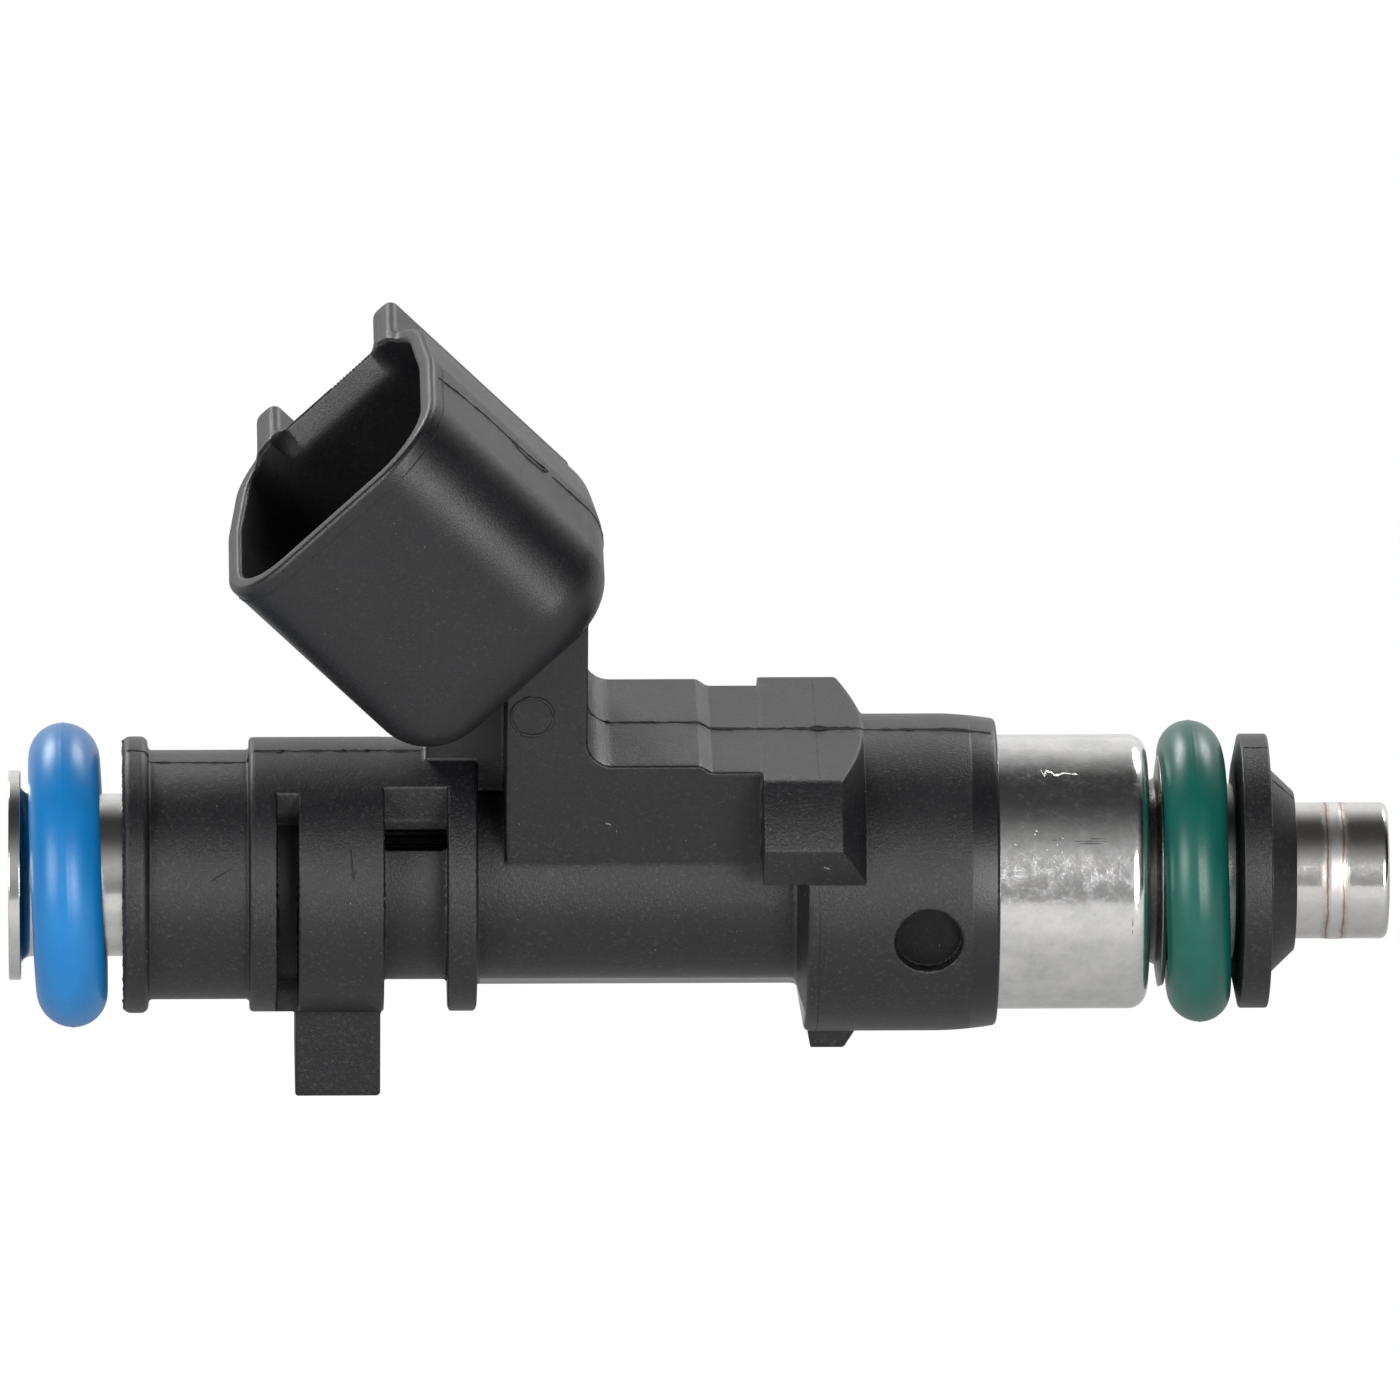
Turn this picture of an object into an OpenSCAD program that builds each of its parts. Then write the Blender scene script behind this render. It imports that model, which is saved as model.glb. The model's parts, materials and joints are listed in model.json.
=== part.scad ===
// Port fuel injector with a two-pin connector, in millimetres.
// +X runs along the injector axis towards the nozzle, and +Z points to the connector's side.
// The origin lies on the axis, in the plane of the lower (manifold) O-ring.
// Lengths named *_x are distances from the inlet face, measured along the axis.

/* [Overall] */
// Inlet face to the lower O-ring's plane
datum_x = 58.15; // [58.05:0.05:58.25]
// Inlet face to the nozzle tip
overall_length = 67.8; // [67.6:0.1:68.4]

/* [Valve sleeve] */
// Radius of the flange at the inlet
flange_r = 5.15; // [4.8:0.05:5.4]
// Outer radius of the sleeve over the coil and the inlet
sleeve_r = 4.0; // [4.0:0.05:4.05]
// Wall thickness of the sleeve
sleeve_wall = 0.5; // [0.4:0.05:0.5]
// Outer radius of the sleeve's tip
tip_r = 3.35; // [3.3:0.05:3.4]

/* [O-rings] */
// Plane of the rail O-ring
rail_oring_x = 2.9; // [2.8:0.05:2.95]
// Section radius of the rail O-ring
rail_oring_section_r = 1.74; // [1.6:0.01:1.76]
// Section radius of the manifold O-ring
manifold_oring_section_r = 1.56; // [1.4:0.01:1.6]

/* [Overmold] */
// Radius of the collar at the inlet end
collar_r = 6.8; // [6.5:0.05:7]
// Radius of the neck behind that collar
neck_r = 6.13; // [5.8:0.05:6.3]
// Radius of the clip band
band_r = 6.75; // [6.6:0.05:6.9]
// Radius of the slim middle of the body
barrel_r = 5.15; // [5.0:0.05:5.3]
// Radius of the body over the magnet housing
rear_r = 7.8; // [7.6:0.05:8]
// Half width of the lead block
block_half_w = 4.87; // [4.6:0.01:5]
// Height of the lead block over the axis
block_top_z = 8.24; // [8:0.01:8.5]
// How far the anti-rotation tab reaches below the axis
tab_reach = 10.8; // [9.5:0.1:11.5]
// Half width of the anti-rotation tab
tab_half_w = 2.95; // [2.5:0.05:3.2]

/* [Connector] */
// Angle between the connector's axis and the injector's axis
connector_angle = 45.5; // [44:0.5:47]
// Half width of the socket, across the two blades
socket_half_w = 6.1; // [5.9:0.05:6.3]
// Reach of the socket from its centre to the wall away from the latch
socket_near = 7.0; // [6.8:0.05:7.1]
// Reach of the socket from its centre to the latch wall
socket_far = 6.6; // [6.5:0.05:6.7]
// Thickness of the shroud's wall
shroud_wall = 0.9; // [0.8:0.05:1]
// Depth of the socket
socket_depth = 11; // [10:0.1:11.5]
// Distance between the two blades
blade_pitch = 5.0; // [4.5:0.1:5.4]
// Width of a blade
blade_w = 1.5; // [1.4:0.1:1.6]
// Thickness of a blade and its lead
blade_t = 0.64; // [0.6:0.02:0.8]

/* [Magnet] */
// Outer radius of the magnet housing
housing_r = 6.75; // [6.7:0.01:6.8]
// Wall of the magnet housing
housing_wall = 0.75; // [0.7:0.05:0.75]
// Travel of the valve between closed and open
needle_lift = 0.08; // [0.06:0.01:0.09]

/* [Valve] */
// Radius of the valve ball
ball_r = 1.75; // [1.7:0.05:1.75]
// Outer radius of the needle tube
needle_r = 1.4; // [1.35:0.05:1.4]
// Gap all round the armature in its sleeve
armature_clearance = 0.06; // [0.03:0.01:0.08]
// Number of spray holes in the orifice plate
spray_holes = 4; // [1:1:6]
// Mean radius of the return spring
spring_mean_r = 1.3; // [1.2:0.01:1.35]
// Radius of the spring's wire
spring_wire_r = 0.2; // [0.15:0.01:0.25]
// Turns of the return spring
spring_turns = 9; // [7:1:11]

/* [Hidden] */
$fn = 96;
contact_gap = 0.005;
bore_r = sleeve_r - sleeve_wall;
tip_bore_r = tip_r - sleeve_wall;
plastic = [0.17, 0.17, 0.18];
steel = [0.72, 0.72, 0.72];

// Stations along the axis
overmold_x = 5.6;
collar_end_x = 6.75;
band_x = 11.8;
groove_x = 13.15;
groove_w = 1.05;
tab_x = 14.05;
pocket_x = 18.35;
ring_x = 21.5;
barrel_x = 23.0;
block_x = 24.33;
block_neck_end_x = 28.3;
rear_x = 39.1;
overmold_end_x = 48.5;
housing_x = 41.0;
housing_end_x = 56.1;
carrier_end_x = 60.2;
ring_front_x = 61.75;
support_end_x = 63.1;
core_x = 30;
core_face_x = 47;
armature_x = core_face_x + needle_lift + contact_gap;
needle_x = 48.2;
ball_x = 64.6;
seat_x = 62.6;
plate_x = 67.0;
plate_t = 0.2;
preload_end_x = 40;
inner_tube_r = 1.65;
mesh_x = 4.0;
mesh_end_x = 12.2;
mesh_r = 2.5;
bobbin_x = 42.3;
bobbin_end_x = 54.9;
bobbin_flange_t = 0.8;
bobbin_hub_r = 4.55;
winding_r = 5.75;
lead_gap = 0.3;

// Centre of the socket's mouth
mouth = [15.87, 0.3, 22.67];
shroud_corner_near = 3.0;
shroud_corner_far = 2.9;
shroud_taper = 0.5;
shroud_rear_round = 3;
shroud_length = 13.8;

function arc(centre, radius, from, to, steps = 8) =
    [for (i = [0:steps])
        let (angle = from + (to - from) * i / steps)
        centre + radius * [cos(angle), sin(angle)]];

// Places what is drawn from the inlet face, along X, in the part's frame
module from_inlet() {
    translate([-datum_x, 0, 0]) children();
}

// A solid of revolution about the axis; each point is [x, radius]
module turned(points) {
    rotate([0, 90, 0]) rotate_extrude() polygon([for (p = points) [p[1], p[0]]]);
}

// A solid ring between two stations and two radii
module ring(x0, x1, inner_r, outer_r) {
    turned([[x0, inner_r], [x1, inner_r], [x1, outer_r], [x0, outer_r]]);
}

// A round bar along X
module bar(x0, x1, radius) {
    translate([x0, 0, 0]) rotate([0, 90, 0]) cylinder(r = radius, h = x1 - x0);
}

// A hole across the axis, along Y
module cross_hole(x, radius, reach) {
    translate([x, 0, 0]) rotate([90, 0, 0]) cylinder(r = radius, h = 2 * reach, center = true, $fn = 32);
}

// An outline in Y and Z, drawn out along X
module across(x0, x1, points) {
    translate([x0, 0, 0]) rotate([90, 0, 90]) linear_extrude(x1 - x0) polygon(points);
}

// An outline in X and Z, drawn out along Y between y0 and y1
module sideways(y0, y1, points) {
    translate([0, y1, 0]) rotate([90, 0, 0]) linear_extrude(y1 - y0) polygon(points);
}

// Draws its children on the +Y side and again, mirrored, on the -Y side
module both_sides() {
    children();
    mirror([0, 1, 0]) children();
}

// Places the connector: its X is across the blades, its Y to the latch, its Z out of the mouth
module at_mouth() {
    translate(mouth) rotate([0, connector_angle - 90, 0]) children();
}

// ---- Steel parts on the axis ----

module valve_sleeve() {
    bore_taper_x = carrier_end_x - 0.4;
    bore_taper_end_x = seat_x - 0.2;
    flange_t = 0.6;
    root_r = 0.5;
    lip_r = 0.25;
    inlet_chamfer = 0.4;
    color(steel) from_inlet() turned(concat(
        [[0, bore_r + inlet_chamfer], [0, flange_r], [flange_t, flange_r]],
        arc([flange_t + root_r, sleeve_r + root_r], root_r, 180, 270, 6),
        [[carrier_end_x, sleeve_r], [support_end_x, tip_r]],
        arc([overall_length - lip_r, tip_r - lip_r], lip_r, 90, 0, 6),
        [[overall_length, tip_bore_r], [bore_taper_end_x, tip_bore_r], [bore_taper_x, bore_r],
         [inlet_chamfer, bore_r]]
    ));
}

module filter_collar() {
    start_x = 0.9;
    end_x = 3.6;
    inner_r = 3.0;
    lead_in = 0.3;
    color("goldenrod") from_inlet() turned([
        [start_x, inner_r], [end_x, inner_r], [end_x, bore_r], [start_x + lead_in, bore_r],
        [start_x, bore_r - 0.2]
    ]);
}

// Plastic basket: a ring in the collar, four ribs and a closed end
module filter_basket() {
    ring_x0 = 1.4;
    shoulder_x = 3.6;
    rib_x = 4.2;
    rib_end_x = 12;
    end_x = 13;
    inner_r = 2.4;
    rib_inner_r = 2.2;
    rib_w = 0.7;
    outer_r = 2.95;
    color("white") from_inlet() difference() {
        union() {
            ring(ring_x0, shoulder_x, inner_r, 3.0);
            ring(shoulder_x, rib_x, inner_r, 3.3);
            bar(rib_end_x, end_x, outer_r);
            for (turn = [0:90:270])
                rotate([turn, 0, 0])
                    translate([rib_x - 0.1, rib_inner_r, -rib_w / 2])
                        cube([rib_end_x - rib_x + 0.2, outer_r - rib_inner_r - 0.05, rib_w]);
        }
        filter_mesh_shape();
    }
}

module filter_mesh_shape() {
    thickness = 0.1;
    ring(mesh_x, mesh_end_x, mesh_r, mesh_r + thickness);
}

module filter_mesh() {
    color("gainsboro") from_inlet() filter_mesh_shape();
}

module preload_sleeve() {
    start_x = 33.5;
    inner_r = 1.15;
    slot_w = 0.5;
    color(steel) from_inlet() difference() {
        ring(start_x, preload_end_x, inner_r, inner_tube_r);
        translate([start_x - 1, 0, -slot_w / 2]) cube([preload_end_x - start_x + 2, 2, slot_w]);
    }
}

// Wire swept along a helix, a ring of points at a time
module return_spring() {
    end_gap = 0.02;
    start_x = preload_end_x + spring_wire_r + end_gap;
    end_x = needle_x - spring_wire_r - end_gap;
    rings_per_turn = 16;
    sides = 8;
    rings = spring_turns * rings_per_turn;
    function wire_point(i, j) =
        let (turn = 360 * i / rings_per_turn, side = 360 * j / sides,
             r = spring_mean_r + spring_wire_r * cos(side))
        [start_x + (end_x - start_x) * i / rings + spring_wire_r * sin(side), r * cos(turn), r * sin(turn)];
    points = [for (i = [0:rings], j = [0:sides - 1]) wire_point(i, j)];
    walls = [for (i = [0:rings - 1], j = [0:sides - 1])
        [i * sides + j, i * sides + (j + 1) % sides,
         (i + 1) * sides + (j + 1) % sides, (i + 1) * sides + j]];
    start_cap = [[for (j = [sides - 1:-1:0]) j]];
    end_cap = [[for (j = [0:sides - 1]) rings * sides + j]];
    color(steel) from_inlet() polyhedron(points, concat(walls, start_cap, end_cap));
}

module pole_core() {
    chamfer = 0.3;
    color("silver") from_inlet() turned([
        [core_x, inner_tube_r], [core_face_x, inner_tube_r], [core_face_x, bore_r - chamfer],
        [core_face_x - chamfer, bore_r], [core_x + chamfer, bore_r], [core_x, bore_r - chamfer]
    ]);
}

// ---- Moving valve group ----

module armature() {
    end_x = 53;
    chamfer = 0.25;
    outer_r = bore_r - armature_clearance;
    color("silver") from_inlet() turned([
        [armature_x, inner_tube_r], [needle_x, inner_tube_r], [needle_x, needle_r], [end_x, needle_r],
        [end_x, outer_r - chamfer], [end_x - chamfer, outer_r],
        [armature_x + chamfer, outer_r], [armature_x, outer_r - chamfer]
    ]);
}

module needle_tube() {
    tube_bore_r = 1.0;
    end_x = ball_x - 1.2;
    fuel_holes_x = [54.5, 61.0];
    fuel_hole_r = 0.5;
    color(steel) from_inlet() difference() {
        ring(needle_x, end_x, tube_bore_r, needle_r);
        translate([ball_x, 0, 0]) sphere(r = ball_r);
        for (x = fuel_holes_x)
            cross_hole(x, fuel_hole_r, 2);
    }
}

// Steel ball with five flats that let the fuel past
module valve_ball() {
    flats = 5;
    flat_r = 1.5;
    flat_start = -0.9;
    color("gainsboro") from_inlet() translate([ball_x, 0, 0]) difference() {
        sphere(r = ball_r);
        for (i = [0:flats - 1])
            rotate([i * 360 / flats, 0, 0]) translate([flat_start, flat_r, -1]) cube([3, 1, 2]);
    }
}

// ---- Nozzle ----

// Guide bore, 45 degree cone that the ball closes on, and outlet
module valve_seat() {
    guide_r = ball_r + 0.04;
    outlet_r = 0.75;
    cone_tip_x = ball_x + (ball_r + contact_gap) * sqrt(2);
    chamfer = 0.3;
    color("darkgray") from_inlet() turned([
        [seat_x, guide_r + chamfer], [seat_x + chamfer, guide_r], [cone_tip_x - guide_r, guide_r],
        [cone_tip_x - outlet_r, outlet_r], [plate_x, outlet_r], [plate_x, tip_bore_r],
        [seat_x + chamfer, tip_bore_r], [seat_x, tip_bore_r - chamfer]
    ]);
}

module orifice_plate() {
    hole_circle_r = 0.42;
    hole_r = 0.12;
    color("lightgray") from_inlet() difference() {
        bar(plate_x, plate_x + plate_t, tip_bore_r);
        for (i = [0:spray_holes - 1])
            rotate([i * 360 / spray_holes, 0, 0])
                translate([plate_x - 0.5, hole_circle_r, 0])
                    rotate([0, 90, 0]) cylinder(r = hole_r, h = 1, $fn = 24);
    }
}

// ---- Coil and magnet circuit ----

module coil_bobbin() {
    flange_outer_r = 5.9;
    inner_r = sleeve_r + 0.02;
    color("ivory") from_inlet() difference() {
        union() {
            ring(bobbin_x, bobbin_end_x, inner_r, bobbin_hub_r);
            ring(bobbin_x, bobbin_x + bobbin_flange_t, inner_r, flange_outer_r);
            ring(bobbin_end_x - bobbin_flange_t, bobbin_end_x, inner_r, flange_outer_r);
        }
        upper_lead();
        lower_lead();
    }
}

module coil_winding() {
    color("chocolate") from_inlet()
        ring(bobbin_x + bobbin_flange_t, bobbin_end_x - bobbin_flange_t, bobbin_hub_r, winding_r);
}

// Deep-drawn pot, open towards the inlet
module magnet_housing() {
    round_r = 0.9;
    inner_r = housing_r - housing_wall;
    color(steel) from_inlet() turned(concat(
        [[housing_x, inner_r], [housing_x, housing_r]],
        arc([housing_end_x - round_r, housing_r - round_r], round_r, 90, 0, 6),
        [[housing_end_x, sleeve_r], [housing_end_x - housing_wall, sleeve_r],
         [housing_end_x - housing_wall, inner_r]]
    ));
}

// C-shaped washer in the pot's open end, cut away where the leads pass
module flux_washer() {
    thickness = 1.1;
    gap_half_w = 2.2;
    color("silver") from_inlet() difference() {
        ring(housing_x, housing_x + thickness, sleeve_r, housing_r - housing_wall);
        translate([housing_x - 1, -gap_half_w, 0]) cube([4, 2 * gap_half_w, housing_r]);
    }
}

// ---- Leads and blades ----

// Where a line from root along out meets the riser's station
function bend_point(root, out, riser_x) = root + out * (riser_x - root[0]) / out[0];

// One lead: a strip from the coil along the block and up its neck, and the blade that stands in the socket.
// side is +1 for the blade towards the nozzle and -1 for the one towards the inlet.
module lead(side, y0) {
    coil_x = bobbin_x + bobbin_flange_t;
    coil_z = 5.0;
    drop_x = 38.4;
    level_x = 40.3;
    tip_depth = 3.2;
    tip_bevel = 0.8;
    tip_half = blade_t / 2 - 0.12;
    out = [cos(connector_angle), -sin(connector_angle)];
    across_blades = [sin(connector_angle), cos(connector_angle)];
    half = blade_t / 2;
    root = [mouth[0], mouth[2]] + side * blade_pitch / 2 * across_blades;
    run_z = side > 0 ? 6.9 : coil_z;
    riser_x = side > 0 ? 27.2 : 25.4;
    tip = root + tip_depth * out;
    foot = bend_point(root, out, riser_x) + 0.3 * out;
    bend = bend_point(root, out, riser_x);
    // Strip from the coil, along the block and up the neck
    sideways(y0, y0 + blade_w, [
        [drop_x, run_z - half], [level_x, coil_z - half], [coil_x, coil_z - half],
        [coil_x, coil_z + half], [level_x + 0.3, coil_z + half], [drop_x + 0.3, run_z + half],
        [riser_x + half, run_z + half], [riser_x + half, bend[1]],
        [riser_x - half, bend[1] + 0.5], [riser_x - half, run_z - half]
    ]);
    // Blade in the socket and its root in the neck, with a bevelled tip
    sideways(mouth[1] - blade_w / 2, mouth[1] + blade_w / 2, [
        tip + tip_half * across_blades, tip + tip_bevel * out + half * across_blades,
        foot + half * across_blades, foot - half * across_blades,
        tip + tip_bevel * out - half * across_blades, tip - tip_half * across_blades
    ]);
}

module upper_lead() {
    lead(1, lead_gap / 2);
}

module lower_lead() {
    lead(-1, -blade_w - lead_gap / 2);
}

module terminal_upper() {
    color("silver") from_inlet() upper_lead();
}

module terminal_lower() {
    color("silver") from_inlet() lower_lead();
}

// ---- Overmold ----

// The socket's outline, enlarged by grow; X is across the blades and +Y is the latch side
module shroud_outline(grow) {
    half = socket_half_w + grow;
    near = -socket_near - grow;
    far = socket_far + grow;
    near_r = shroud_corner_near + grow;
    far_r = shroud_corner_far + grow;
    far_half = half - shroud_taper;
    polygon(concat(
        arc([half - near_r, near + near_r], near_r, -90, 0),
        [[half, 0.3]],
        arc([far_half - far_r, far - far_r], far_r, 5, 90),
        arc([-far_half + far_r, far - far_r], far_r, 90, 175),
        [[-half, 0.3]],
        arc([-half + near_r, near + near_r], near_r, 180, 270)
    ));
}

// The shroud's outside, closed behind by steps that follow a round end
module shroud_outside() {
    steps = 4;
    translate([0, 0, shroud_rear_round - shroud_length])
        linear_extrude(shroud_length - shroud_rear_round) shroud_outline(shroud_wall);
    for (i = [1:steps]) {
        angle = 90 * (i - 0.5) / steps;
        translate([0, 0, shroud_rear_round - shroud_length - shroud_rear_round * sin(angle)])
            linear_extrude(shroud_rear_round)
                shroud_outline(shroud_wall - shroud_rear_round * (1 - cos(angle)));
    }
}

// Two rails on the latch wall and the ramp that the plug's latch snaps over
module latch_rails() {
    rail_w = 1.5;
    rail_reach = 10.6;
    rail_length = 12.5;
    rail_pitch = 8;
    crown_r = 0.6;
    wall = socket_far + shroud_wall;
    ramp_half_w = 1.9;
    ramp_h = 1.4;
    ramp_foot = -2.2;
    ramp_top = -5.2;
    for (side = [-1, 1])
        translate([side * rail_pitch / 2, 0, -rail_length]) linear_extrude(rail_length)
            polygon(concat(
                [[-rail_w / 2, wall - 2], [rail_w / 2, wall - 2]],
                arc([rail_w / 2 - crown_r, rail_reach - crown_r], crown_r, 0, 90, 5),
                arc([crown_r - rail_w / 2, rail_reach - crown_r], crown_r, 90, 180, 5)
            ));
    translate([-ramp_half_w, 0, 0]) rotate([90, 0, 90]) linear_extrude(2 * ramp_half_w)
        polygon([
            [wall - 0.3, ramp_foot], [wall + ramp_h, ramp_top], [wall + ramp_h, ramp_top - 1],
            [wall - 0.3, ramp_top - 1]
        ]);
}

module body_of_revolution() {
    edge = 0.4;
    taper_x = 47.0;
    rear_end_r = 7.5;
    rear_draft = 0.45;
    turned(concat(
        [[overmold_x, sleeve_r]],
        arc([overmold_x + edge, collar_r - edge], edge, 180, 90, 4),
        [[collar_end_x, collar_r], [collar_end_x, neck_r], [band_x, neck_r]],
        arc([band_x + edge, band_r - edge], edge, 180, 90, 4),
        [[barrel_x, band_r], [barrel_x, barrel_r], [rear_x - rear_draft, barrel_r], [rear_x, rear_r],
         [taper_x, rear_r], [overmold_end_x, rear_end_r], [overmold_end_x, housing_r],
         [housing_x, housing_r], [housing_x, sleeve_r]]
    ));
}

// Channel for the leads along the top of the body, up to the connector
module lead_block() {
    foot_z = 2.2;
    foot_half_w = 4.4;
    full_width_z = 7;
    step_z = 7.88;
    step_x = 34.4;
    step_slope = 0.8;
    fillet = 1.3;
    neck_top_z = 16;
    // Low run, drawn in to the body at its foot
    across(block_x, rear_x + 2, [
        [-foot_half_w, foot_z], [foot_half_w, foot_z], [block_half_w, full_width_z],
        [block_half_w, step_z], [-block_half_w, step_z], [-block_half_w, full_width_z]
    ]);
    // Raised part and the neck that carries the connector, with a fillet between them
    sideways(-block_half_w, block_half_w, concat(
        [[block_x, step_z - 1], [step_x, step_z - 1], [step_x, step_z],
         [step_x - step_slope, block_top_z]],
        arc([block_neck_end_x + fillet, block_top_z + fillet], fillet, 270, 180, 6),
        [[block_neck_end_x, neck_top_z], [block_x, neck_top_z]]
    ));
}

// Thin web under the connector, from the clip band to the neck
module connector_web() {
    web_x = 20.5;
    half_w = 1.0;
    foot_z = 5;
    top_z = 12;
    across(web_x, block_x + 0.2, [[-half_w, foot_z], [half_w, foot_z], [half_w, top_z], [-half_w, top_z]]);
}

// Saddle where the block meets the rear of the body: flat on top, round on its sides, undercut below
module lead_pad() {
    saddle_r = 9.8;
    saddle_x = 36.9;
    saddle_end_x = 40.75;
    nose_x = 41.95;
    nose_r = 7.8;
    pad_top_z = 7.88;
    foot_half_w = 7.24;
    foot_z = 2.89;
    widest = 9.0;
    widest_z = 6.73;
    root_r = sleeve_r + 0.5;
    intersection() {
        across(saddle_x - 1, nose_x + 1, [
            [-widest, pad_top_z], [-widest, widest_z], [-foot_half_w, foot_z],
            [foot_half_w, foot_z], [widest, widest_z], [widest, pad_top_z]
        ]);
        turned([
            [saddle_x, root_r], [saddle_x, saddle_r], [saddle_end_x, saddle_r],
            [nose_x, nose_r], [nose_x, root_r]
        ]);
    }
}

// Keel along the underside and the locating lug
module keel_and_lug() {
    keel_z = -6.1;
    keel_foot_z = -4.2;
    keel_half_w = 2.6;
    lug_z = -8.7;
    lug_foot_z = -6;
    lug_half_w = 2;
    lug_end_x = rear_x + 2.6;
    across(barrel_x - 0.5, rear_x + 0.5, [
        [-keel_half_w, keel_foot_z], [0, keel_z], [keel_half_w, keel_foot_z]
    ]);
    sideways(-lug_half_w, lug_half_w, [
        [rear_x + 0.05, lug_foot_z], [rear_x + 0.25, lug_z], [rear_x + 1.7, lug_z], [lug_end_x, -7.4],
        [lug_end_x, lug_foot_z]
    ]);
}

module anti_rotation_tab() {
    corner = 0.2;
    root_z = -5;
    end_x = pocket_x - 0.1;
    sideways(-tab_half_w, tab_half_w, [
        [tab_x, root_z], [tab_x, -tab_reach + corner], [tab_x + corner, -tab_reach],
        [end_x - corner, -tab_reach], [end_x, -tab_reach + corner], [end_x, root_z]
    ]);
}

// Slots on both sides that the retaining clip's fork slides into
module clip_groove() {
    floor_r = 5.3;
    bridge_half_w = 3.13;
    difference() {
        ring(groove_x, groove_x + groove_w, floor_r, band_r + 1);
        translate([groove_x - 1, -bridge_half_w, -10]) cube([groove_w + 2, 2 * bridge_half_w, 20]);
    }
}

// Core-outs between the band and the ring: open all round except for a web on top
module side_pockets() {
    web_half_w = 2.8;
    shelf_z = 3.3;
    trench_half_w = 2.45;
    trench_w = 1.15;
    trench_z = 2.2;
    trench_h = 1.5;
    trench_floor_r = 4.4;
    width = ring_x - pocket_x;
    difference() {
        ring(pocket_x, ring_x, barrel_r, band_r + 1);
        translate([pocket_x - 1, -web_half_w, 0]) cube([width + 2, 2 * web_half_w, 10]);
    }
    both_sides() {
        translate([pocket_x, web_half_w, shelf_z]) cube([width, 5, 5]);
        difference() {
            translate([pocket_x, trench_half_w, trench_z]) cube([width, trench_w, trench_h]);
            bar(pocket_x - 1, ring_x + 1, trench_floor_r);
        }
    }
}

module overmold() {
    side_hole_x = 45.0;
    side_hole_r = 1.65;
    side_hole_floor_r = housing_r + 0.25;
    color(plastic) from_inlet() difference() {
        union() {
            body_of_revolution();
            lead_block();
            connector_web();
            lead_pad();
            keel_and_lug();
            anti_rotation_tab();
            at_mouth() {
                shroud_outside();
                latch_rails();
            }
        }
        ring(overmold_x - 1, housing_x, 0, sleeve_r);
        ring(housing_x, overmold_end_x + 1, 0, housing_r);
        clip_groove();
        side_pockets();
        at_mouth() translate([0, 0, -socket_depth]) linear_extrude(socket_depth + 1) shroud_outline(0);
        both_sides()
            translate([side_hole_x, side_hole_floor_r, 0])
                rotate([-90, 0, 0]) cylinder(r = side_hole_r, h = 3, $fn = 48);
        upper_lead();
        lower_lead();
    }
}

// ---- Seals and their supports ----

module o_ring(plane_x, inner_r, section_r) {
    from_inlet() translate([plane_x, 0, 0]) rotate([0, 90, 0])
        rotate_extrude() translate([inner_r + section_r + contact_gap, 0]) circle(r = section_r, $fn = 48);
}

module rail_oring() {
    color("dodgerblue") o_ring(rail_oring_x, sleeve_r, rail_oring_section_r);
}

module manifold_oring() {
    color("teal") o_ring(datum_x, sleeve_r + 0.3, manifold_oring_section_r);
}

// Steel collar with a flare that backs the manifold O-ring
module oring_carrier() {
    hub_r = sleeve_r + 0.3;
    flare_r = 6.4;
    flare_t = 0.35;
    flare_x = housing_end_x + 0.12;
    color(steel) from_inlet() turned([
        [housing_end_x, sleeve_r], [carrier_end_x, sleeve_r], [carrier_end_x, hub_r],
        [flare_x + flare_t, hub_r], [flare_x + flare_t, flare_r - 0.1], [flare_x + flare_t - 0.1, flare_r],
        [flare_x, flare_r], [flare_x, hub_r], [housing_end_x, hub_r]
    ]);
}

module support_ring() {
    edge = 0.15;
    nose_r = 3.9;
    shoulder_r = 5.1;
    color(plastic) from_inlet() turned([
        [carrier_end_x, sleeve_r], [carrier_end_x, band_r - edge], [carrier_end_x + edge, band_r],
        [ring_front_x - edge, band_r], [ring_front_x, band_r - edge], [ring_front_x, shoulder_r],
        [support_end_x - edge, nose_r], [support_end_x, nose_r - edge], [support_end_x, tip_r]
    ]);
}

valve_sleeve();
filter_collar();
filter_basket();
filter_mesh();
preload_sleeve();
return_spring();
pole_core();
armature();
needle_tube();
valve_ball();
valve_seat();
orifice_plate();
coil_bobbin();
coil_winding();
magnet_housing();
flux_washer();
overmold();
terminal_upper();
terminal_lower();
rail_oring();
manifold_oring();
oring_carrier();
support_ring();
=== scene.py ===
import json
import math

import bpy
import numpy as np
from mathutils import Matrix, Vector


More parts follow.
